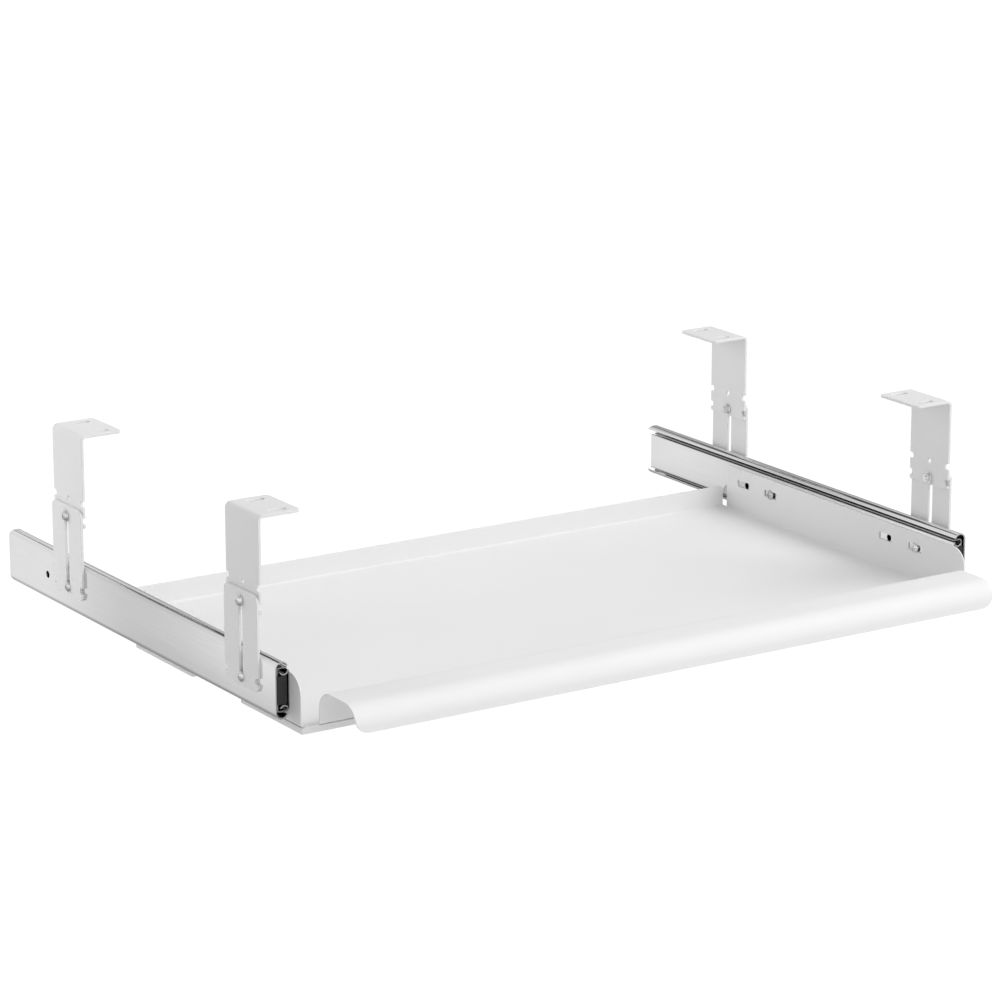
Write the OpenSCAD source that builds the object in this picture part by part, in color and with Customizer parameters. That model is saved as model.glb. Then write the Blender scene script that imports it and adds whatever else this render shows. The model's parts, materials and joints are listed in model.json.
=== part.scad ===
// Pull-out drawer that hangs under a desk top.
// A folded steel tray runs on two ball bearing slides. Each slide hangs from two
// L hangers through slotted straps, which set the height of the drawer.
// The origin is on the desk face, midway between the four hangers. +Y is the back, +Z is up.

/* [Tray] */
// Width of the tray over its side flanges
tray_w = 644; // [420:2:900]
// Depth of the tray from the front of the lip to the back flange
tray_d = 400; // [330:2:480]
// Thickness of the folded sheet
sheet_t = 1.2; // [0.8:0.1:2.5]
// Inside radius of the sheet bends
bend_r = 0.8; // [0.5:0.1:3]
// Height of the side flanges above the floor
side_flange_h = 39; // [24:0.5:60]
// Height of the back flange above the floor
back_flange_h = 18; // [10:0.5:40]
// Gap between the end of a side flange and the back flange
corner_gap = 6.5; // [3:0.5:15]
// Radius of the top corners of the back flange
back_corner_r = 5; // [1:0.5:8]
// Distance from the front edge of the floor back to a side flange
flange_setback = 1.6; // [0:0.1:5]
// Radius of the top front corner of a side flange
flange_corner_r = 15.5; // [4:0.5:20]
// How far the tray reaches in front of the slides
tray_overhang = 17.5; // [5:0.5:30]
// Gap between the slides and the floor under them
floor_gap = 2.5; // [1:0.5:8]

/* [Pull lip] */
// Depth of the lip in front of the floor
lip_d = 54; // [45:1:80]
// Height of the lip above the floor
lip_h = 27.2; // [24:0.2:40]
// Radius of the two bends of the lip
lip_r = 16; // [8:0.5:18]
// Height of the open hand gap below the front of the lip
lip_gap = 5.9; // [2:0.1:7]
// Distance from a side flange to the end of the lip
lip_inset = 15.4; // [8:0.2:40]
// Radius of the lower front corners of the lip
lip_corner_r = 11.5; // [4:0.5:20]

/* [Stiffeners] */
// Width of a stiffener, front to back
stiffener_w = 94; // [60:1:120]
// Depth of a stiffener below the floor
stiffener_h = 5; // [3:0.1:12]
// Sheet thickness of a stiffener
stiffener_t = 1.2; // [0.8:0.1:2]
// Width of the flanges welded to the floor
weld_flange_w = 12; // [8:1:20]
// Distance from the front edge of the floor to the rear stiffener
rear_stiffener_pos = 172; // [125:1:200]
// Diameter of a weld mark on the floor
weld_mark_d = 2.4; // [1.5:0.1:4]
// Depth of a weld mark
weld_mark_depth = 0.3; // [0.1:0.1:0.5]
// Spacing of the two weld marks of a pair
weld_mark_pitch = 7; // [5:0.5:20]
// Distance from the centre line to a pair of weld marks
weld_mark_x = 242; // [60:1:400]
// Distance from the back flange to the weld marks
weld_mark_back = 35; // [15:1:60]

/* [Slides] */
// Length of the outer rail
slide_len = 450; // [400:10:600]
// Height of the outer rail
rail_h = 46; // [40:0.5:56]
// Wall of the rails
rail_wall = 1.2; // [1:0.1:1.5]
// Diameter of the outer balls
outer_ball_d = 3.7; // [3:0.1:4.5]
// Diameter of the inner balls
inner_ball_d = 3.6; // [3:0.1:4.4]
// Number of balls in one row
ball_count = 8; // [4:1:10]
// Spacing of the balls in a row
ball_pitch = 24; // [12:1:25]
// Thickness of a ball cage strip
cage_t = 0.6; // [0.4:0.1:0.8]
// How far the inner rail ends before the outer rail at the back
inner_setback = 8; // [4:1:20]
// How far the middle rail ends before the outer rail at the back
middle_setback = 12; // [10:1:30]
// How far the middle rail starts behind the front of the outer rail
middle_front = 2; // [2:0.5:30]
// Radius of the back corners of the outer rail
rail_corner_r = 6; // [2:0.5:10]
// Diameter of the open holes in the rails
rail_hole_d = 6; // [4:0.5:8]
// Distance from the back of the slide to its open hole
rail_hole_back = 71; // [50:1:80]

/* [Hangers and straps] */
// Thickness of the hangers and straps
plate_t = 2.3; // [1.8:0.1:3.5]
// Width of a hanger and of a strap
hanger_w = 51; // [40:1:70]
// Length of the top flange of a hanger
hanger_reach = 37.5; // [30:0.5:60]
// Outside radius of the hanger bend
hanger_bend_r = 4.5; // [4:0.1:8]
// Corner radius of the hangers
hanger_corner_r = 4; // [2:0.5:6]
// Distance from the desk face to the upper hole of a hanger
first_hole_drop = 57.4; // [40:0.2:120]
// Spacing of the two holes of a hanger
level_pitch = 14.5; // [12:0.5:25]
// Distance from the lower hole to the end of a hanger
leg_end = 6.1; // [5:0.1:12]
// Depth of the side notches
notch_d = 4.5; // [2:0.1:6]
// Height of the side notches
notch_h = 5.2; // [3:0.1:7]
// Length between the end centres of the slot in a strap
slot_run = 60.7; // [48:0.1:90]
// Distance from the top of the slot to the top of a strap
strap_top = 9.1; // [6:0.1:15]
// Distance from the bottom of the slot to the bottom of a strap
strap_bottom = 7.5; // [6:0.1:15]
// Corner radius of the straps
strap_corner_r = 6; // [2:0.5:6]
// Height of the strap notches above the lower screw
strap_notch_lift = 1.5; // [0:0.1:6]
// Distance from the front of the slide to the front hangers
front_setback = 48.3; // [36:0.1:80]
// Distance from the back of the slide to the rear hangers
rear_setback = 112.7; // [60:0.1:140]
// Distance from the outside of a hanger to the middle of its desk slots
desk_slot_x = 22; // [14:0.5:40]
// Spacing of the two desk slots of a hanger
desk_slot_pitch = 33.5; // [24:0.5:44]
// Width of a desk slot
desk_slot_w = 5.5; // [4:0.1:7]
// Length between the end centres of a desk slot
desk_slot_run = 10; // [4:0.1:14]

/* [Fasteners] */
// Diameter of the screw shanks
screw_d = 4; // [3:0.1:5]
// Diameter of the screw heads
head_d = 8.6; // [7.5:0.1:10]
// Height of the screw heads
head_h = 2.6; // [2:0.1:4]
// Diameter of the washers under the bolt heads
washer_d = 9.8; // [9:0.1:12]
// Thickness of the washers
washer_t = 0.9; // [0.5:0.1:1.5]
// Width of the nuts over their flats
nut_af = 7; // [5.5:0.1:9]
// Height of the nuts
nut_h = 3.8; // [2.5:0.1:5]
// Width of the flange round a nut
nut_flange_d = 9.6; // [8:0.1:12]
// Length of the slots in the side flanges of the tray
tray_slot_l = 18; // [14:0.5:22]
// Height of the slots in the side flanges of the tray
tray_slot_h = 6; // [5.5:0.1:7]
// Distance from the front of the slides to the front tray screws
front_screw_setback = 49.6; // [40:0.1:90]
// Distance from the back of a side flange to the rear tray screws
rear_screw_back = 65.7; // [55:0.1:100]
// Distance from a tray screw to the open hole behind it
screw_to_hole = 37; // [30:0.5:45]

/* [Hidden] */
$fn = 48;

// Fits and running clearances
run_fit = 0.1;      // between a ball and its races, and between sliding flat faces
hole_fit = 0.4;     // a screw hole over its screw
slot_fit = 1.2;     // the slot of a strap over its bolt
thread_fit = 0.1;   // a tapped hole over its screw
race_ease = 1.2;    // the ball groove of the inner rail over its ball
race_gap = 0.6;     // between the inner rail and the webs and lips beside it
web_gap = 1;        // between the webs of the outer and middle rails
hook_gap = 1.3;     // between the hook of the outer rail and the top of the middle rail
hook_setback = 1.3; // from the face of the inner rail back to the outer rail
cage_fit = 0.24;    // a cage hole over its ball
bumper_fit = 0.4;   // round the plastic stops
back_fit = 0.6;     // from the outside of a side flange to the end of the back flange
cut = 1;            // how far a cutting shape reaches past the piece it cuts

// A length kept to whole micrometres, so that neighbouring shapes of a section still meet
function fine(length) = round(length * 1000) / 1000;

// Section of a slide: t runs inward from its outer face and h runs up from its middle
race_ri = inner_ball_d / 2 + race_ease;
race_ro = race_ri + rail_wall;
race_depth = 2 * rail_wall;
race_reach = fine(sqrt(pow(race_ro, 2) - pow(race_ro - race_depth, 2)));
inner_corner_r = 1.5 * rail_wall;
middle_web_t = rail_wall + web_gap;
race_t = middle_web_t + rail_wall + race_gap + race_reach;
slide_t = race_t + race_ri + inner_corner_r + run_fit;
curl_w = slide_t - hook_setback;
curl_ro = curl_w / 2;
curl_ri = curl_ro - rail_wall;
curl_h = rail_h / 2 - curl_ro;
outer_ball_h = rail_h / 2 - rail_wall - run_fit - outer_ball_d / 2;
middle_top_h = outer_ball_h - outer_ball_d / 2 - run_fit;
middle_corner_r = 2 * rail_wall;
hook_h = max(middle_top_h + hook_gap, curl_h);
inner_ball_h = middle_top_h - rail_wall - run_fit - inner_ball_d / 2;
race_h = inner_ball_h - inner_ball_d / 2 - run_fit + race_ri;
inner_top_h = middle_top_h - rail_wall - race_gap;
inner_free_h = race_h - race_ro;
outer_cage_w = 5.4;
inner_cage_h = inner_ball_h + cage_t;
inner_cage_w = 5;

// Places of the whole assembly
span = tray_w / 2 + slide_t;
hanger_pitch = slide_len - front_setback - rear_setback;
rail_front = -hanger_pitch / 2 - front_setback;
rail_back = rail_front + slide_len;
bolt_z = -first_hole_drop - level_pitch;
rail_z = bolt_z - slot_run;
floor_z = rail_z - rail_h / 2 - floor_gap;
floor_bottom = floor_z - sheet_t;
tray_front = rail_front - tray_overhang;
flange_front = tray_front + flange_setback;
lip_front = tray_front - lip_d;
tray_back = lip_front + tray_d;
flange_back = tray_back - sheet_t - corner_gap;
tray_half = tray_w / 2;
bend_ro = bend_r + sheet_t;
back_half = tray_half - back_fit;
lip_half = tray_half - lip_inset;
slot_w = screw_d + slot_fit;
front_screw_y = rail_front + front_screw_setback;
rear_screw_y = flange_back - rear_screw_back;
ends = [-1, 1];

// Middles of the tray slots, behind a screw and behind an open hole
screw_slot_shift = 0.2;
hole_slot_shift = 3.7;

// Small corners, and the plastic blocks of the slides
leg_corner_r = 1.5;
bumper_nose = 1.5;
bumper_hold = 12;
stop_back = 4;

// Ends of the screws: cross recess, dome of the head, and how far the ends stand out
recess_w = 1.1;
recess_l = 0.6 * head_d;
recess_depth = 1.5;
dome_h = 0.75 * head_h;
bolt_end = 0.8;
rail_screw_end = 0.3;
tray_screw_end = 0.4;
nut_flange_t = 1;

// ---- shapes used by several pieces ----

// Runs a drawing of x and z from y0 to y1
module run_y(y0, y1) {
    translate([0, y1, 0]) rotate([90, 0, 0]) linear_extrude(y1 - y0) children();
}

// Runs a drawing of y and z from x0 to x1
module run_x(x0, x1) {
    translate([x0, 0, 0]) rotate([90, 0, 90]) linear_extrude(x1 - x0) children();
}

// Shows the left side piece, or its mirror image for the right side
module on_side(side) {
    mirror([side > 0 ? 1 : 0, 0, 0]) children();
}

// Moves a slide drawing of t and h to its place on the left side
module slide_run(y0, y1) {
    run_y(rail_front + y0, rail_front + y1) translate([-span, rail_z]) children();
}

// Quarter of a ring in the +x +y corner
module quarter_band(ri, ro) {
    intersection() {
        difference() {
            circle(ro);
            circle(ri);
        }
        square(ro);
    }
}

// Removes one sharp corner: the corner is at the origin and the plate lies towards +x +y
module corner_cut(r) {
    if (r > 0) difference() {
        translate([-cut, -cut]) square(r + cut);
        translate([r, r]) circle(r);
    }
}

// Rectangle with a radius of its own at the bottom and at the top corners
module plate(x0, x1, z0, z1, bottom_r, top_r) {
    difference() {
        translate([x0, z0]) square([x1 - x0, z1 - z0]);
        for (s = [0, 1]) {
            translate([s ? x1 : x0, z0]) mirror([s, 0]) corner_cut(bottom_r);
            translate([s ? x1 : x0, z1]) mirror([s, 0]) mirror([0, 1]) corner_cut(top_r);
        }
    }
}

// Slot with round ends along the first axis, run long between its end centres
module slot2d(run, w) {
    square([run, w], center = true);
    for (e = ends) translate([e * run / 2, 0]) circle(w / 2);
}

// Side notches of a plate as wide as a hanger, at height z
module notches(z) {
    for (e = ends) translate([e * hanger_w / 2, z]) {
        square([2 * (notch_d - notch_h / 2), notch_h], center = true);
        translate([-e * (notch_d - notch_h / 2), 0]) circle(notch_h / 2);
    }
}

// Repeats a hanger piece at the front (-1) or the rear (1) on one side
module at_hanger(side, end) {
    on_side(side) translate([-span, end * hanger_pitch / 2, 0]) children();
}

// Pan head screw along +x with its head below the origin and its shank above it
module pan_screw(length, lift = 0) {
    dome_r = (pow(head_d / 2, 2) + pow(dome_h, 2)) / (2 * dome_h);
    rotate([0, 90, 0]) difference() {
        union() {
            cylinder(h = length, d = screw_d);
            if (lift > 0) translate([0, 0, -lift]) cylinder(h = lift, d = washer_d);
            translate([0, 0, -lift]) rotate_extrude() intersection() {
                translate([0, dome_r - head_h]) circle(dome_r, $fn = 96);
                translate([0, -head_h]) square([head_d / 2, head_h]);
            }
        }
        for (a = [0, 90]) rotate(a)
            translate([-recess_l / 2, -recess_w / 2, -lift - head_h - cut])
                cube([recess_l, recess_w, cut + recess_depth]);
    }
}

// ---- tray and stiffeners ----

// Floor with its two bent edges, drawn across the tray
module floor_section() {
    flat = tray_half - bend_ro;
    translate([-flat, floor_bottom]) square([2 * flat, sheet_t]);
    for (s = ends) translate([s * flat, floor_z + bend_r]) mirror([s < 0 ? 1 : 0, 0])
        mirror([0, 1]) quarter_band(bend_r, bend_ro);
}

// Outline of a side flange, drawn along the tray
module flange_outline() {
    top = floor_z + side_flange_h;
    difference() {
        translate([flange_front, floor_z + bend_r])
            square([flange_back - flange_front, side_flange_h - bend_r]);
        translate([flange_front, top]) mirror([0, 1]) corner_cut(flange_corner_r);
        translate([flange_back, top]) mirror([1, 0]) mirror([0, 1]) corner_cut(bend_ro);
    }
}

// Slots of a side flange, two for screws and two over open holes
module flange_slots() {
    corner = tray_slot_h / 4;
    for (y = [front_screw_y, rear_screw_y]) {
        for (c = [y + screw_slot_shift, y + screw_to_hole + hole_slot_shift])
            translate([c, rail_z])
                plate(-tray_slot_l / 2, tray_slot_l / 2, -tray_slot_h / 2, tray_slot_h / 2, corner, corner);
    }
}

// Floor edge bent up towards the back flange, drawn along the tray
module back_bend() {
    bend_y = tray_back - bend_ro;
    translate([flange_back, floor_bottom]) square([bend_y - flange_back, sheet_t]);
    translate([bend_y, floor_z + bend_r]) mirror([0, 1]) quarter_band(bend_r, bend_ro);
}

// Lip drawn along the tray: up from the floor, over the hand and down in front
module lip_section() {
    wall_y = tray_front + sheet_t;
    top = floor_z + lip_h;
    end_z = floor_z + lip_gap;
    translate([wall_y + bend_r, floor_z + bend_r]) mirror([1, 0]) mirror([0, 1])
        quarter_band(bend_r, bend_ro);
    translate([tray_front, floor_z + bend_r]) square([sheet_t, lip_h - lip_r - bend_r]);
    translate([wall_y - lip_r, top - lip_r]) quarter_band(lip_r - sheet_t, lip_r);
    translate([lip_front + lip_r, top - sheet_t]) square([wall_y - lip_front - 2 * lip_r, sheet_t]);
    translate([lip_front + lip_r, top - lip_r]) mirror([1, 0]) quarter_band(lip_r - sheet_t, lip_r);
    translate([lip_front, end_z]) square([sheet_t, top - lip_r - end_z]);
}

module tray() color("whitesmoke") {
    difference() {
        union() {
            run_y(tray_front + bend_ro, flange_back) floor_section();
            for (s = ends) on_side(s) {
                run_y(flange_front, tray_front + bend_ro) intersection() {
                    floor_section();
                    translate([-tray_half, floor_bottom]) square([bend_ro, bend_ro]);
                }
                run_y(tray_front, tray_front + bend_ro) translate([bend_ro - tray_half, floor_bottom])
                    square([lip_inset - bend_ro, sheet_t]);
            }
            for (s = ends) on_side(s) run_x(-tray_half, -tray_half + sheet_t) difference() {
                flange_outline();
                flange_slots();
            }
            run_x(-back_half, back_half) back_bend();
            run_y(tray_back - sheet_t, tray_back)
                plate(-back_half, back_half, floor_z + bend_r, floor_z + back_flange_h, 0, back_corner_r);
            run_x(-lip_half, lip_half) lip_section();
        }
        // Rounded lower corners of the lip
        for (s = ends) on_side(s)
            run_y(lip_front - cut, lip_front + lip_r)
                translate([-lip_half, floor_z + lip_gap]) corner_cut(lip_corner_r);
        // Weld marks
        for (s = ends, m = ends)
            translate([s * weld_mark_x + m * weld_mark_pitch / 2, tray_back - weld_mark_back,
                       floor_z - weld_mark_depth])
                cylinder(h = cut, d = weld_mark_d);
    }
}

// Shallow pan with its front and back edges turned inward for the welds
module stiffener(y0) {
    bottom = floor_bottom - stiffener_h;
    translate([-tray_half, y0, bottom]) difference() {
        cube([tray_w, stiffener_w, stiffener_h]);
        translate([stiffener_t, stiffener_t, stiffener_t])
            cube([tray_w - 2 * stiffener_t, stiffener_w - 2 * stiffener_t, stiffener_h - 2 * stiffener_t]);
        translate([stiffener_t, weld_flange_w, stiffener_h / 2])
            cube([tray_w - 2 * stiffener_t, stiffener_w - 2 * weld_flange_w, stiffener_h]);
    }
}

module front_stiffener() color("gainsboro") stiffener(tray_front);
module rear_stiffener() color("gainsboro") stiffener(tray_front + rear_stiffener_pos);

// ---- hangers and straps ----

module hanger(side, end) color("white") at_hanger(side, end) {
    leg_bottom = bolt_z - leg_end;
    // Leg, just clear of the strap outside it
    run_x(run_fit, plate_t + run_fit) difference() {
        plate(-hanger_w / 2, hanger_w / 2, leg_bottom, -hanger_bend_r, leg_corner_r, 0);
        for (z = [-first_hole_drop, bolt_z]) {
            translate([0, z]) circle((screw_d + hole_fit) / 2);
            notches(z);
        }
    }
    // Bend
    run_y(-hanger_w / 2, hanger_w / 2) translate([run_fit + hanger_bend_r, -hanger_bend_r])
        mirror([1, 0]) quarter_band(hanger_bend_r - plate_t, hanger_bend_r);
    // Top flange with the desk slots
    translate([0, 0, -plate_t]) linear_extrude(plate_t) difference() {
        translate([run_fit + hanger_bend_r, -hanger_w / 2])
            square([hanger_reach - hanger_bend_r, hanger_w]);
        for (e = ends) {
            translate([run_fit + hanger_reach, e * hanger_w / 2]) mirror([1, 0])
                mirror([0, e > 0 ? 1 : 0]) corner_cut(hanger_corner_r);
            translate([desk_slot_x, e * desk_slot_pitch / 2]) slot2d(desk_slot_run, desk_slot_w);
        }
    }
}

module strap(side, end) color("white") at_hanger(side, end)
    run_x(-plate_t, 0) difference() {
        plate(-hanger_w / 2, hanger_w / 2, rail_z - strap_bottom, bolt_z + strap_top,
              strap_corner_r, strap_corner_r);
        translate([0, bolt_z - slot_run / 2]) rotate(90) slot2d(slot_run, slot_w);
        notches(rail_z + strap_notch_lift);
    }

module hanger_front_left() hanger(-1, -1);
module hanger_front_right() hanger(1, -1);
module hanger_rear_left() hanger(-1, 1);
module hanger_rear_right() hanger(1, 1);
module strap_front_left() strap(-1, -1);
module strap_front_right() strap(1, -1);
module strap_rear_left() strap(-1, 1);
module strap_rear_right() strap(1, 1);

// ---- slides ----

// One half of the outer rail section, above the middle
module outer_half() {
    square([rail_wall, curl_h]);
    translate([curl_ro, curl_h]) mirror([1, 0]) quarter_band(curl_ri, curl_ro);
    intersection() {
        translate([curl_ro, curl_h]) quarter_band(curl_ri, curl_ro);
        translate([curl_ro, hook_h]) square(curl_ro);
    }
}

// One half of the middle rail section
module middle_half() {
    plate_t0 = middle_web_t + middle_corner_r;
    translate([middle_web_t, 0]) square([rail_wall, middle_top_h - middle_corner_r]);
    translate([plate_t0, middle_top_h - middle_corner_r]) mirror([1, 0])
        quarter_band(middle_corner_r - rail_wall, middle_corner_r);
    translate([plate_t0, middle_top_h - rail_wall]) square([curl_w - plate_t0, rail_wall]);
}

// One half of the inner rail section, with the shallow race for the inner balls
module inner_half() {
    web_t = slide_t - rail_wall;
    r = inner_corner_r;
    translate([web_t, 0]) square([rail_wall, inner_top_h - r]);
    translate([slide_t - r, inner_top_h - r]) quarter_band(r - rail_wall, r);
    translate([race_t + race_ri, inner_top_h - rail_wall])
        square([slide_t - r - race_t - race_ri, rail_wall]);
    intersection() {
        translate([race_t, race_h]) difference() {
            circle(race_ro);
            circle(race_ri);
        }
        union() {
            translate([0, race_h - race_ro]) square([slide_t - rail_wall, race_depth]);
            translate([race_t, race_h - race_ro]) square([web_t - race_t, race_ro]);
        }
    }
}

// Both halves of a slide section
module both_halves() {
    for (m = [0, 1]) mirror([0, m]) children();
}

module outer_rail(side) color("silver") on_side(side) difference() {
    intersection() {
        slide_run(0, slide_len) both_halves() outer_half();
        run_x(-span - cut, -span + slide_t) difference() {
            translate([rail_front, rail_z - rail_h / 2]) square([slide_len, rail_h]);
            for (m = ends) translate([rail_back, rail_z + m * rail_h / 2]) mirror([1, 0])
                mirror([0, m > 0 ? 1 : 0]) corner_cut(rail_corner_r);
        }
    }
    run_x(-span - cut, -span + rail_wall + cut) {
        for (e = ends) translate([e * hanger_pitch / 2, rail_z]) circle((screw_d + thread_fit) / 2);
        translate([rail_back - rail_hole_back, rail_z]) circle(rail_hole_d / 2);
    }
}

module middle_rail(side) color("dimgray") on_side(side)
    slide_run(middle_front, slide_len - middle_setback) both_halves() middle_half();

module inner_rail(side) color("silver") on_side(side) difference() {
    slide_run(0, slide_len - inner_setback) both_halves() inner_half();
    run_x(-span + slide_t - rail_wall - cut, -span + slide_t + cut)
        for (y = [front_screw_y, rear_screw_y]) {
            translate([y, rail_z]) circle((screw_d + thread_fit) / 2);
            translate([y + screw_to_hole, rail_z]) circle(rail_hole_d / 2);
        }
}

// Plastic block on the front end of the middle rail
module front_bumper(side) color("black") on_side(side) {
    half = inner_free_h - bumper_fit;
    reach = slide_t - rail_wall - tray_screw_end - bumper_fit;
    slide_run(middle_front - bumper_nose, middle_front)
        translate([middle_web_t - bumper_fit, -half]) square([reach - middle_web_t + bumper_fit, 2 * half]);
    slide_run(middle_front, middle_front + bumper_hold)
        translate([middle_web_t + rail_wall, -half])
            square([reach - middle_web_t - rail_wall, 2 * half]);
}

// Plastic stop behind the middle rail, fixed in the outer rail
module rear_stop(side) color("black") on_side(side) {
    half = inner_free_h - bumper_fit;
    slide_run(slide_len - middle_setback + bumper_fit, slide_len - stop_back)
        translate([rail_wall, -half]) square([race_t - rail_wall, 2 * half]);
}

// Middle of the ball rows, so that they stay in both rails over the whole travel
ball_mid = (slide_len - middle_setback) / 2;
function ball_y(i) = rail_front + ball_mid + (i - (ball_count - 1) / 2) * ball_pitch;

// Two rows of balls, above and below the middle
module ball_rows(side, t, h, d) on_side(side)
    for (m = ends, i = [0 : ball_count - 1])
        translate([-span + t, ball_y(i), rail_z + m * h]) sphere(d = d, $fn = 32);

// Two drilled strips that keep the balls apart
module cage_strips(side, t, strip_h, w, ball_h, d) on_side(side) {
    half_len = (ball_count * ball_pitch) / 2;
    for (m = ends) difference() {
        slide_run(ball_mid - half_len, ball_mid + half_len)
            translate([t - w / 2, m * strip_h - cage_t / 2]) square([w, cage_t]);
        for (i = [0 : ball_count - 1])
            translate([-span + t, ball_y(i), rail_z + m * ball_h])
                cylinder(h = 2 * d, d = ball_cut(d, strip_h - ball_h), center = true);
    }
}

// Diameter of the hole that a ball needs in a strip at a height above its centre
function ball_cut(d, lift) =
    2 * sqrt(pow(d / 2, 2) - pow(max(0, lift - cage_t / 2), 2)) + cage_fit;

module outer_cage(side) color("gray")
    cage_strips(side, curl_ro, outer_ball_h, outer_cage_w, outer_ball_h, outer_ball_d);
module inner_cage(side) color("gray")
    cage_strips(side, race_t, inner_cage_h, inner_cage_w, inner_ball_h, inner_ball_d);
module outer_balls(side) color("lightgray") ball_rows(side, curl_ro, outer_ball_h, outer_ball_d);
module inner_balls(side) color("lightgray") ball_rows(side, race_t, inner_ball_h, inner_ball_d);

module outer_rail_left() outer_rail(-1);
module outer_rail_right() outer_rail(1);
module middle_rail_left() middle_rail(-1);
module middle_rail_right() middle_rail(1);
module inner_rail_left() inner_rail(-1);
module inner_rail_right() inner_rail(1);
module rear_stop_left() rear_stop(-1);
module rear_stop_right() rear_stop(1);
module front_bumper_left() front_bumper(-1);
module front_bumper_right() front_bumper(1);
module outer_cage_left() outer_cage(-1);
module outer_cage_right() outer_cage(1);
module outer_balls_left() outer_balls(-1);
module outer_balls_right() outer_balls(1);
module inner_cage_left() inner_cage(-1);
module inner_cage_right() inner_cage(1);
module inner_balls_left() inner_balls(-1);
module inner_balls_right() inner_balls(1);

// ---- fasteners ----

// Bolts through the straps and the lower holes of the hangers
module hanger_bolts() color("silver")
    for (s = ends, e = ends) at_hanger(s, e) translate([-plate_t - run_fit, 0, bolt_z])
        pan_screw(2 * plate_t + 2 * run_fit + nut_h + bolt_end, washer_t);

// Flanged hexagon nuts inside the hangers
module hanger_nuts() color("silver")
    for (s = ends, e = ends) at_hanger(s, e)
        translate([plate_t + run_fit, 0, bolt_z]) rotate([0, 90, 0]) difference() {
            union() {
                cylinder(h = nut_h, d = nut_af / cos(30), $fn = 6);
                cylinder(h = nut_flange_t, d = nut_flange_d);
            }
            translate([0, 0, -cut]) cylinder(h = nut_h + 2 * cut, d = screw_d);
        }

// Screws through the feet of the straps into the outer rails
module rail_screws() color("silver")
    for (s = ends, e = ends) at_hanger(s, e) translate([-plate_t, 0, rail_z])
        pan_screw(plate_t + rail_wall + rail_screw_end);

// Screws through the side flanges into the inner rails
module tray_screws() color("silver")
    for (s = ends, y = [front_screw_y, rear_screw_y]) on_side(s)
        translate([-tray_half + sheet_t, y, rail_z]) rotate([0, 0, 180])
            pan_screw(sheet_t + rail_wall + tray_screw_end);

tray();
front_stiffener();
rear_stiffener();
hanger_front_left();
hanger_front_right();
hanger_rear_left();
hanger_rear_right();
strap_front_left();
strap_front_right();
strap_rear_left();
strap_rear_right();
outer_rail_left();
outer_rail_right();
middle_rail_left();
middle_rail_right();
inner_rail_left();
inner_rail_right();
rear_stop_left();
rear_stop_right();
front_bumper_left();
front_bumper_right();
outer_cage_left();
outer_cage_right();
outer_balls_left();
outer_balls_right();
inner_cage_left();
inner_cage_right();
inner_balls_left();
inner_balls_right();
hanger_bolts();
hanger_nuts();
rail_screws();
tray_screws();
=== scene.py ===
"""Looks of a pull-out drawer that hangs under a desk: a folded white tray on two ball bearing slides."""
import json
import math

import bpy
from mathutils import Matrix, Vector


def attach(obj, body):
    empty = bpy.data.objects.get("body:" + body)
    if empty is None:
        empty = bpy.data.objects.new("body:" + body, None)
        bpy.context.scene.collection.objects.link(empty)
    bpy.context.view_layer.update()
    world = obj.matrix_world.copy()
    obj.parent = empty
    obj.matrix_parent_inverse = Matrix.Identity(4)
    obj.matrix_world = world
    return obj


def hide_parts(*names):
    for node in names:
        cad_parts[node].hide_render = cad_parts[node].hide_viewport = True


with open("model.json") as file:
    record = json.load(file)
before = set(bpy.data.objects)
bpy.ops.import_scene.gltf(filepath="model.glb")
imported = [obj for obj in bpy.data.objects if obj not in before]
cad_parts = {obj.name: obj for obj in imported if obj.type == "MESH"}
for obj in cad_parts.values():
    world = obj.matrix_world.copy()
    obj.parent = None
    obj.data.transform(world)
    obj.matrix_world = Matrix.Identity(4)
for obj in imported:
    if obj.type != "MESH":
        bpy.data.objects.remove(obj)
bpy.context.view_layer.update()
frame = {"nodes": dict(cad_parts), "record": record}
NODES = frame["nodes"]
RECORD = frame["record"]

MM = 0.001

# How sharp edges are broken.
MERGE_GAP = 0.002 * MM  # corners nearer than this are one corner
FLAT_ANGLE = math.radians(0.5)  # triangles that meet flatter than this make one face
SHARP_ANGLE = math.radians(40.0)  # edges sharper than this are broken
SMOOTH_ANGLE = math.radians(30.0)  # faces that meet flatter than this shade as one surface

# The width of the broken edges in mm. The first name that a node's name starts with counts.
EDGE_WIDTHS = {
    "hanger_bolts": 0.15,
    "hanger_nuts": 0.2,
    "rail_screws": 0.12,
    "tray_screws": 0.12,
    "tray": 0.15,
    "front_stiffener": 0.15,
    "rear_stiffener": 0.15,
    "hanger": 0.25,
    "strap": 0.25,
    "outer_rail": 0.15,
    "middle_rail": 0.15,
    "inner_rail": 0.15,
    "rear_stop": 0.3,
    "front_bumper": 0.3,
}

# Nearly all the values of a noise lie between these.
NOISE_RANGE = (0.3, 0.7)

# The studio. Places and sizes are in metres.
FLOOR_Z = -0.72  # a desk's height below the face that the drawer hangs from
FLOOR_SIZE = 60.0
BACKDROP = 1.05  # just past white, so that the floor and the room meet unseen
LIGHT_TARGET = (0.0, 0.0, -0.1)
CAMERA_PLACE = (-1.7757, -2.7242, 0.8075)
CAMERA_PITCH = math.radians(74.806)
CAMERA_HEADING = math.radians(-32.991)


# ---- node helpers ----

def node(tree, kind, **values):
    """Adds a shader node and sets its properties by name."""
    made = tree.nodes.new(kind)
    for key, value in values.items():
        setattr(made, key, value)
    return made


def link(tree, source, target):
    tree.links.new(source, target)


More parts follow.
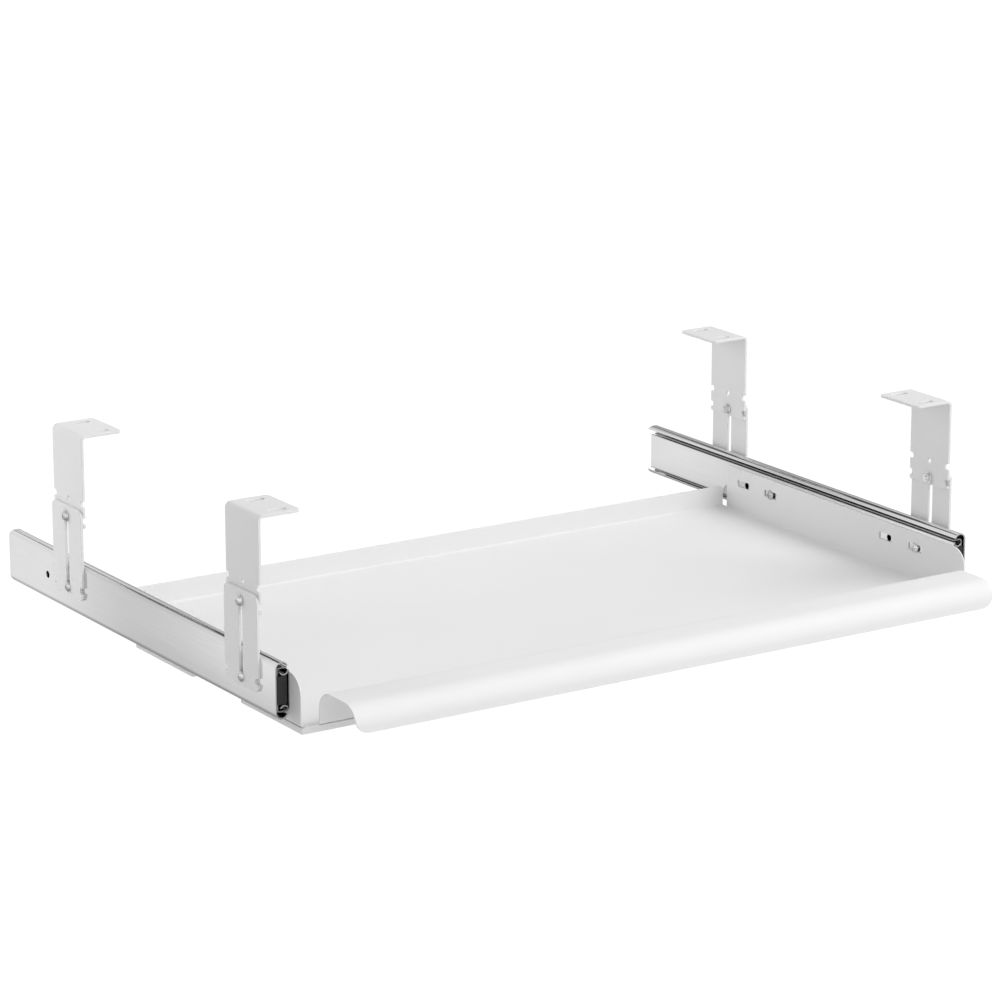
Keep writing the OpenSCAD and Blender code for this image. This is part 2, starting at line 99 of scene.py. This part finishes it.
def new_group(name, inputs, outputs):
    """An empty shader node group with the sockets named, and its two end nodes."""
    tree = bpy.data.node_groups.new(name, "ShaderNodeTree")
    for title, kind, value in inputs:
        socket = tree.interface.new_socket(name=title, in_out="INPUT", socket_type=kind)
        if value is not None:
            socket.default_value = value
    for title, kind in outputs:
        tree.interface.new_socket(name=title, in_out="OUTPUT", socket_type=kind)
    start = node(tree, "NodeGroupInput")
    end = node(tree, "NodeGroupOutput")
    return tree, start, end


def noise(tree, vector, scale, detail, roughness=0.5):
    made = node(tree, "ShaderNodeTexNoise")
    made.inputs["Scale"].default_value = scale
    made.inputs["Detail"].default_value = detail
    made.inputs["Roughness"].default_value = roughness
    link(tree, vector, made.inputs["Vector"])
    return made.outputs["Fac"]


def math_node(tree, operation, *values):
    """Calculates with one or two values, each a number or another node's output."""
    made = node(tree, "ShaderNodeMath", operation=operation)
    for socket, value in zip(made.inputs, values):
        if isinstance(value, (int, float)):
            socket.default_value = value
        else:
            link(tree, value, socket)
    return made.outputs["Value"]


def total(tree, first, *rest):
    for value in rest:
        first = math_node(tree, "ADD", first, value)
    return first


def spread(tree, value, old, new=(0.0, 1.0), interpolation="LINEAR"):
    """Moves a value from an old range to a new one, and holds it there."""
    made = node(tree, "ShaderNodeMapRange", interpolation_type=interpolation)
    for title, number in zip(("From Min", "From Max", "To Min", "To Max"), old + new):
        made.inputs[title].default_value = number
    link(tree, value, made.inputs["Value"])
    return made.outputs["Result"]


def mix_shaders(tree, factor, first, second):
    made = node(tree, "ShaderNodeMixShader")
    link(tree, factor, made.inputs["Fac"])
    link(tree, first, made.inputs[1])
    link(tree, second, made.inputs[2])
    return made.outputs["Shader"]


# ---- effects shared by the finishes ----

def make_coat_texture():
    """Powder coat: a fine orange peel with a slow drift in tone."""
    tree, start, end = new_group(
        "coat_texture",
        [("Vector", "NodeSocketVector", None), ("Drift", "NodeSocketFloat", 0.03)],
        [("Height", "NodeSocketFloat"), ("Tone", "NodeSocketFloat"), ("Gloss", "NodeSocketFloat")],
    )
    vector = start.outputs["Vector"]
    fine = noise(tree, vector, scale=2600.0, detail=2.0)
    peel = noise(tree, vector, scale=900.0, detail=1.0)
    height = math_node(tree, "ADD", fine, math_node(tree, "MULTIPLY", peel, 1.4))
    cloud = math_node(tree, "SUBTRACT", noise(tree, vector, scale=14.0, detail=3.0), 0.5)
    tone = math_node(tree, "MULTIPLY", cloud, start.outputs["Drift"])
    link(tree, height, end.inputs["Height"])
    link(tree, math_node(tree, "ADD", tone, 1.0), end.inputs["Tone"])
    link(tree, spread(tree, peel, NOISE_RANGE, (0.94, 1.06)), end.inputs["Gloss"])
    return tree


def painted_reflection_and_cloud(tree, vector):
    """Painted reflection with a faint random cloud: a slow change of tone along Y, darkest near the
    middle of the drawer and lightest at its ends, as if a darker part of the room were mirrored there.
    """
    # Painted reflection: the tone is darkest this far behind the origin and brightens in a cosine
    # towards the ends.
    darkest = 0.02  # metres behind the origin
    turn = 16.0  # radians in a metre
    along = node(tree, "ShaderNodeSeparateXYZ")
    link(tree, vector, along.inputs["Vector"])
    phase = math_node(tree, "MULTIPLY", math_node(tree, "SUBTRACT", along.outputs["Y"], darkest), turn)
    cloud = math_node(tree, "SUBTRACT", noise(tree, vector, scale=5.0, detail=1.0), 0.5)
    drift = math_node(tree, "ADD", math_node(tree, "COSINE", phase), cloud)
    return spread(tree, drift, (-1.0, 1.0), (1.03, 0.76))


def make_grain_and_painted_reflection():
    """Rolled and plated steel: long faint lines and cloudy patches, with a painted reflection as a slow
    drift along the sheet that darkens it toward the middle of the drawer.
    """
    tree, start, end = new_group(
        "grain_and_painted_reflection",
        [("Vector", "NodeSocketVector", None), ("Stretch", "NodeSocketVector", (1.0, 0.02, 1.0))],
        [("Height", "NodeSocketFloat"), ("Tone", "NodeSocketFloat"), ("Gloss", "NodeSocketFloat")],
    )
    vector = start.outputs["Vector"]
    scaled = node(tree, "ShaderNodeVectorMath", operation="MULTIPLY")
    link(tree, vector, scaled.inputs[0])
    link(tree, start.outputs["Stretch"], scaled.inputs[1])
    lines = noise(tree, scaled.outputs["Vector"], scale=900.0, detail=4.0, roughness=0.6)
    patches = noise(tree, vector, scale=35.0, detail=4.0, roughness=0.6)
    line_share = math_node(tree, "MULTIPLY", lines, 0.6)
    patch_share = math_node(tree, "MULTIPLY", patches, 0.4)
    fine = math_node(tree, "ADD", line_share, patch_share)
    fine_tone = spread(tree, fine, NOISE_RANGE, (0.96, 1.04))
    # The fine grain is the steel's own tone; the drift it is multiplied by is painted reflection.
    tone = math_node(tree, "MULTIPLY", fine_tone, painted_reflection_and_cloud(tree, vector))
    link(tree, lines, end.inputs["Height"])
    link(tree, tone, end.inputs["Tone"])
    link(tree, spread(tree, patches, NOISE_RANGE, (0.8, 1.25)), end.inputs["Gloss"])
    return tree


def make_cut_ends():
    """A mask of the sheared ends of a rail, which face along Y."""
    tree, start, end = new_group(
        "cut_ends",
        [("Vector", "NodeSocketVector", None), ("Normal", "NodeSocketVector", None)],
        [("Mask", "NodeSocketFloat")],
    )
    split = node(tree, "ShaderNodeSeparateXYZ")
    link(tree, start.outputs["Normal"], split.inputs["Vector"])
    facing = spread(tree, math_node(tree, "ABSOLUTE", split.outputs["Y"]), (0.6, 0.9))
    burr = noise(tree, start.outputs["Vector"], scale=1800.0, detail=2.0)
    mask = math_node(tree, "MULTIPLY", facing, spread(tree, burr, NOISE_RANGE, (0.75, 1.0)))
    link(tree, mask, end.inputs["Mask"])
    return tree


COAT_TEXTURE = make_coat_texture()
GRAIN_AND_PAINTED_REFLECTION = make_grain_and_painted_reflection()
CUT_ENDS = make_cut_ends()
EVEN_GRAIN = (1.0, 1.0, 1.0)  # a grain without long lines, for turned and headed pieces


# ---- finishes ----

def new_material(name, metallic=0.0):
    """An empty material with a Principled shader, and the Object coordinates it reads."""
    made = bpy.data.materials.new(name)
    made.use_nodes = True
    tree = made.node_tree
    tree.nodes.clear()
    shader = node(tree, "ShaderNodeBsdfPrincipled")
    shader.inputs["Metallic"].default_value = metallic
    end = node(tree, "ShaderNodeOutputMaterial")
    link(tree, shader.outputs["BSDF"], end.inputs["Surface"])
    place = node(tree, "ShaderNodeTexCoord")
    return made, tree, shader, place.outputs["Object"]


def apply_effect(tree, shader, group, vector, colour, rough, bump, depth, **values):
    """Feeds the colour, roughness and normal of a shader from an effect group."""
    effect = node(tree, "ShaderNodeGroup", node_tree=group)
    link(tree, vector, effect.inputs["Vector"])
    for title, value in values.items():
        effect.inputs[title].default_value = value
    tinted = node(tree, "ShaderNodeVectorMath", operation="SCALE")
    tinted.inputs[0].default_value = colour
    link(tree, effect.outputs["Tone"], tinted.inputs["Scale"])
    link(tree, tinted.outputs["Vector"], shader.inputs["Base Color"])
    link(tree, math_node(tree, "MULTIPLY", effect.outputs["Gloss"], rough), shader.inputs["Roughness"])
    relief = node(tree, "ShaderNodeBump")
    relief.inputs["Strength"].default_value = bump
    relief.inputs["Distance"].default_value = depth
    link(tree, effect.outputs["Height"], relief.inputs["Height"])
    link(tree, relief.outputs["Normal"], shader.inputs["Normal"])


def add_cut_ends(tree, shader, grey, dullness):
    """Turns the sheared ends of a plated piece grey and dull."""
    place = node(tree, "ShaderNodeTexCoord")
    ends = node(tree, "ShaderNodeGroup", node_tree=CUT_ENDS)
    link(tree, place.outputs["Object"], ends.inputs["Vector"])
    link(tree, place.outputs["Normal"], ends.inputs["Normal"])
    colour = node(tree, "ShaderNodeMix", data_type="RGBA")
    link(tree, ends.outputs["Mask"], colour.inputs["Factor"])
    link(tree, shader.inputs["Base Color"].links[0].from_socket, colour.inputs["A"])
    colour.inputs["B"].default_value = (grey, grey, grey, 1.0)
    rough = node(tree, "ShaderNodeMix", data_type="FLOAT")
    link(tree, ends.outputs["Mask"], rough.inputs["Factor"])
    link(tree, shader.inputs["Roughness"].links[0].from_socket, rough.inputs["A"])
    rough.inputs["B"].default_value = dullness
    link(tree, colour.outputs["Result"], shader.inputs["Base Color"])
    link(tree, rough.outputs["Result"], shader.inputs["Roughness"])


def tray_powder_coat():
    made, tree, shader, vector = new_material("tray_powder_coat")
    apply_effect(
        tree, shader, COAT_TEXTURE, vector,
        colour=(0.78, 0.78, 0.78), rough=0.5, bump=0.3, depth=0.04 * MM,
    )
    return made


def hanger_powder_coat():
    made, tree, shader, vector = new_material("hanger_powder_coat")
    apply_effect(
        tree, shader, COAT_TEXTURE, vector,
        colour=(0.75, 0.75, 0.75), rough=0.45, bump=0.4, depth=0.05 * MM, Drift=0.05,
    )
    return made


def bright_zinc():
    made, tree, shader, vector = new_material("bright_zinc", metallic=1.0)
    apply_effect(
        tree, shader, GRAIN_AND_PAINTED_REFLECTION, vector,
        colour=(0.9, 0.9, 0.9), rough=0.12, bump=0.06, depth=0.02 * MM,
    )
    add_cut_ends(tree, shader, grey=0.5, dullness=0.45)
    return made


def dark_zinc():
    made, tree, shader, vector = new_material("dark_zinc", metallic=1.0)
    apply_effect(
        tree, shader, GRAIN_AND_PAINTED_REFLECTION, vector,
        colour=(0.32, 0.32, 0.33), rough=0.26, bump=0.15, depth=0.03 * MM,
    )
    return made


def screw_zinc():
    made, tree, shader, vector = new_material("screw_zinc", metallic=1.0)
    apply_effect(
        tree, shader, GRAIN_AND_PAINTED_REFLECTION, vector,
        colour=(0.78, 0.78, 0.79), rough=0.1, bump=0.2, depth=0.03 * MM, Stretch=EVEN_GRAIN,
    )
    return made


def ball_steel():
    made, tree, shader, vector = new_material("ball_steel", metallic=1.0)
    apply_effect(
        tree, shader, GRAIN_AND_PAINTED_REFLECTION, vector,
        colour=(0.7, 0.7, 0.72), rough=0.08, bump=0.05, depth=0.01 * MM, Stretch=EVEN_GRAIN,
    )
    return made


def black_plastic():
    made, tree, shader, vector = new_material("black_plastic")
    apply_effect(
        tree, shader, COAT_TEXTURE, vector,
        colour=(0.018, 0.018, 0.019), rough=0.5, bump=0.4, depth=0.05 * MM, Drift=0.2,
    )
    return made


FINISHES = {
    "tray_powder_coat": tray_powder_coat(),
    "hanger_powder_coat": hanger_powder_coat(),
    "bright_zinc": bright_zinc(),
    "dark_zinc": dark_zinc(),
    "screw_zinc": screw_zinc(),
    "ball_steel": ball_steel(),
    "black_plastic": black_plastic(),
}


def slot_of(name):
    """The material slot that the record gives a CAD node."""
    for part in RECORD["subparts"]:
        if part["node"] == name:
            return part["material_slot"]
    raise KeyError(name)


def paint(obj, slot):
    obj.data.materials.clear()
    obj.data.materials.append(FINISHES[slot])


def paint_nodes():
    for name, obj in NODES.items():
        paint(obj, slot_of(name))


# ---- pieces with finished edges ----

def body_of(name):
    """The moving body that a CAD node belongs to."""
    for body, members in RECORD["behaviour"]["bodies"].items():
        if name in members:
            return body
    raise KeyError(name)


def merge_triangles():
    """Joins the loose triangles of the active object into whole faces."""
    bpy.ops.mesh.customdata_custom_splitnormals_clear()
    bpy.ops.object.mode_set(mode="EDIT")
    bpy.ops.mesh.select_all(action="SELECT")
    bpy.ops.mesh.remove_doubles(threshold=MERGE_GAP)
    bpy.ops.mesh.dissolve_limited(angle_limit=FLAT_ANGLE)
    bpy.ops.object.mode_set(mode="OBJECT")


def break_edges(obj, width):
    """Bevels the sharp edges of the active object and smooths its curved faces."""
    bevel = obj.modifiers.new("broken_edge", "BEVEL")
    bevel.width = width
    bevel.segments = 1
    bevel.limit_method = "ANGLE"
    bevel.angle_limit = SHARP_ANGLE
    bevel.use_clamp_overlap = False
    bpy.ops.object.modifier_apply(modifier=bevel.name)
    bpy.ops.object.shade_smooth_by_angle(angle=SMOOTH_ANGLE)


def finish_edges(name, width):
    """Replaces a CAD node by a copy whose sharp edges are broken, as on a deburred or coated piece."""
    mesh = NODES[name].data.copy()
    made = bpy.data.objects.new(name + "_finished", mesh)
    bpy.context.scene.collection.objects.link(made)
    bpy.ops.object.select_all(action="DESELECT")
    made.select_set(True)
    bpy.context.view_layer.objects.active = made
    merge_triangles()
    break_edges(made, width)
    paint(made, slot_of(name))
    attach(made, body_of(name))
    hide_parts(name)


def finish_all_edges():
    for name in list(NODES):
        for start, width in EDGE_WIDTHS.items():
            if name.startswith(start):
                finish_edges(name, width * MM)
                break


# ---- floor, light and camera ----

def emission(tree, strength):
    made = node(tree, "ShaderNodeEmission")
    made.inputs["Strength"].default_value = strength
    return made


def lit_floor(tree):
    """The floor as matt surfaces are lit by it: pale, with a faint glow of its own."""
    matt = node(tree, "ShaderNodeBsdfDiffuse")
    matt.inputs["Color"].default_value = (0.8, 0.8, 0.8, 1.0)
    glow = emission(tree, 0.05)
    made = node(tree, "ShaderNodeAddShader")
    link(tree, matt.outputs["BSDF"], made.inputs[0])
    link(tree, glow.outputs["Emission"], made.inputs[1])
    return made.outputs["Shader"]


def mirrored_floor(tree, spot):
    """The floor as metals mirror it: a glow with painted shade, grey under the drawer where its shadow
    would fall and lighter further out.
    """
    reach = node(tree, "ShaderNodeVectorMath", operation="LENGTH")
    link(tree, spot.outputs["Position"], reach.inputs[0])
    made = node(tree, "ShaderNodeEmission")
    # Painted shadow: the glow is dimmest within a metre of the origin and reaches its full strength 2.2
    # m out.
    link(tree, spread(tree, reach.outputs["Value"], (1.0, 2.2), (0.28, 0.8)), made.inputs["Strength"])
    return made.outputs["Emission"]


def floor_finish():
    """Plain white to the camera, and clear from below."""
    made = bpy.data.materials.new("pale_floor")
    made.use_nodes = True
    tree = made.node_tree
    tree.nodes.clear()
    rays = node(tree, "ShaderNodeLightPath")
    spot = node(tree, "ShaderNodeNewGeometry")
    white = emission(tree, BACKDROP)
    clear = node(tree, "ShaderNodeBsdfTransparent")
    # Glossy rays see the floor with its painted shadow; other rays see the lit floor.
    above = mix_shaders(tree, rays.outputs["Is Glossy Ray"], lit_floor(tree), mirrored_floor(tree, spot))
    above = mix_shaders(tree, rays.outputs["Is Camera Ray"], above, white.outputs["Emission"])
    both = mix_shaders(tree, spot.outputs["Backfacing"], above, clear.outputs["BSDF"])
    end = node(tree, "ShaderNodeOutputMaterial")
    link(tree, both, end.inputs["Surface"])
    return made


def make_floor():
    bpy.ops.mesh.primitive_plane_add(size=FLOOR_SIZE, location=(0.0, 0.0, FLOOR_Z))
    floor = bpy.context.object
    floor.name = "pale_floor"
    floor.data.materials.append(floor_finish())


def lobe(tree, axis, sign, power, strength):
    """Light that comes from one side of the room and fades to nothing at right angles to it."""
    toward = math_node(tree, "MAXIMUM", math_node(tree, "MULTIPLY", axis, sign), 0.0)
    return math_node(tree, "MULTIPLY", math_node(tree, "POWER", toward, power), strength)


def dark_patch(tree, strength, *limits):
    """A zone of the room that is darker where every direction given is past its limits."""
    mask = strength
    for direction, start, full in limits:
        past = spread(tree, direction, (start, full), interpolation="SMOOTHSTEP")
        mask = math_node(tree, "MULTIPLY", past, mask)
    return mask


def background(tree, grey, strength):
    """A plain sky of a strength that is a number or another node's output."""
    made = node(tree, "ShaderNodeBackground")
    made.inputs["Color"].default_value = (grey, grey, grey, 1.0)
    if isinstance(strength, float):
        made.inputs["Strength"].default_value = strength
    else:
        link(tree, strength, made.inputs["Strength"])
    return made.outputs["Background"]


def make_world():
    """A white studio, brightest in front, with two dark zones on the back wall for metals to mirror."""
    world = bpy.data.worlds.new("soft_room")
    bpy.context.scene.world = world
    world.use_nodes = True
    tree = world.node_tree
    tree.nodes.clear()
    place = node(tree, "ShaderNodeTexCoord")
    split = node(tree, "ShaderNodeSeparateXYZ")
    link(tree, place.outputs["Generated"], split.inputs["Vector"])
    side, depth, height = split.outputs["X"], split.outputs["Y"], split.outputs["Z"]
    rays = node(tree, "ShaderNodeLightPath")

    front = lobe(tree, depth, sign=-1.0, power=1.0, strength=1.33)
    back = lobe(tree, depth, sign=1.0, power=1.0, strength=1.03)
    top = lobe(tree, height, sign=1.0, power=3.0, strength=0.54)
    right = lobe(tree, side, sign=1.0, power=2.0, strength=0.5)
    left = lobe(tree, side, sign=-1.0, power=4.0, strength=1.2)
    left_shine = math_node(tree, "MULTIPLY", left, rays.outputs["Is Glossy Ray"])
    light = total(tree, front, back, top, right, left_shine)

    wall = (depth, 0.4, 0.6)
    high = dark_patch(tree, 0.9, (side, -0.2, -0.06), (side, 0.42, 0.24), (height, 0.3, 0.45), wall)
    low = dark_patch(tree, 0.5, (side, 0.3, 0.5), (height, -0.1, 0.1), (height, 0.5, 0.3), wall)
    clear = math_node(tree, "SUBTRACT", 1.0, math_node(tree, "MAXIMUM", high, low))

    room = background(tree, 0.8, math_node(tree, "MULTIPLY", light, clear))
    plain = background(tree, 1.0, BACKDROP)
    seen = mix_shaders(tree, rays.outputs["Is Camera Ray"], room, plain)
    end = node(tree, "ShaderNodeOutputWorld")
    link(tree, seen, end.inputs["Surface"])


def soft_light(name, place, target, size, power):
    """A square softbox that faces a target and isn't mirrored."""
    data = bpy.data.lights.new(name, "AREA")
    data.shape = "SQUARE"
    data.size = size
    data.energy = power
    lamp = bpy.data.objects.new(name, data)
    lamp.location = place
    lamp.rotation_euler = (Vector(target) - Vector(place)).to_track_quat("-Z", "Y").to_euler()
    lamp.visible_glossy = False
    bpy.context.scene.collection.objects.link(lamp)


def make_lights():
    """A weak panel in front, the main one high on the right, and a small one behind on the left."""
    soft_light("front_panel", (0.2, -3.2, 2.2), LIGHT_TARGET, size=2.4, power=19.0)
    soft_light("key_panel", (2.1, -1.2, 2.7), LIGHT_TARGET, size=2.4, power=72.0)
    soft_light("back_left_panel", (-0.75, 0.8, 0.15), (-0.2, 0.35, -0.1), size=0.9, power=5.4)


def make_camera():
    data = bpy.data.cameras.new("camera")
    data.lens = 145.42
    data.sensor_width = 36.0
    data.clip_end = 100.0
    camera = bpy.data.objects.new("camera", data)
    camera.location = CAMERA_PLACE
    camera.rotation_euler = (CAMERA_PITCH, 0.0, CAMERA_HEADING)
    bpy.context.scene.collection.objects.link(camera)
    bpy.context.scene.camera = camera


paint_nodes()
finish_all_edges()
make_floor()
make_world()
make_lights()
make_camera()
bpy.context.scene.view_settings.view_transform = "Standard"
